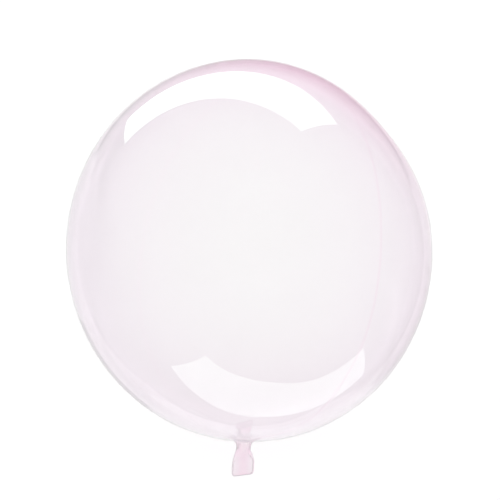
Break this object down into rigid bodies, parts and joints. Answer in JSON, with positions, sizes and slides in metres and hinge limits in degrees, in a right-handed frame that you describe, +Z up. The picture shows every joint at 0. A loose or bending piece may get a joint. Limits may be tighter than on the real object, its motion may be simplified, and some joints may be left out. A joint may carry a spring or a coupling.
{
  "type": "clear bubble balloon",
  "caption": "Round, air-filled bubble of clear pale pink film with a seam round it, a gathered neck and a flat tail, lying loose.",
  "frame": {"origin": "on the floor under the middle of the bubble, at the bottom centre of the bounding box", "axes": "+Z up; the neck and tail droop to -Y, 47 degrees below level; +X to the right as seen from the neck's side"},
  "size_m": [0.4591, 0.4712, 0.4697],
  "materials": {
    "clear_pink_film": "smooth, see-through pale pink film, glossy"
  },
  "bodies": {
    "root": {"film_bubble": "clear_pink_film"}
  },
  "joints": []
}
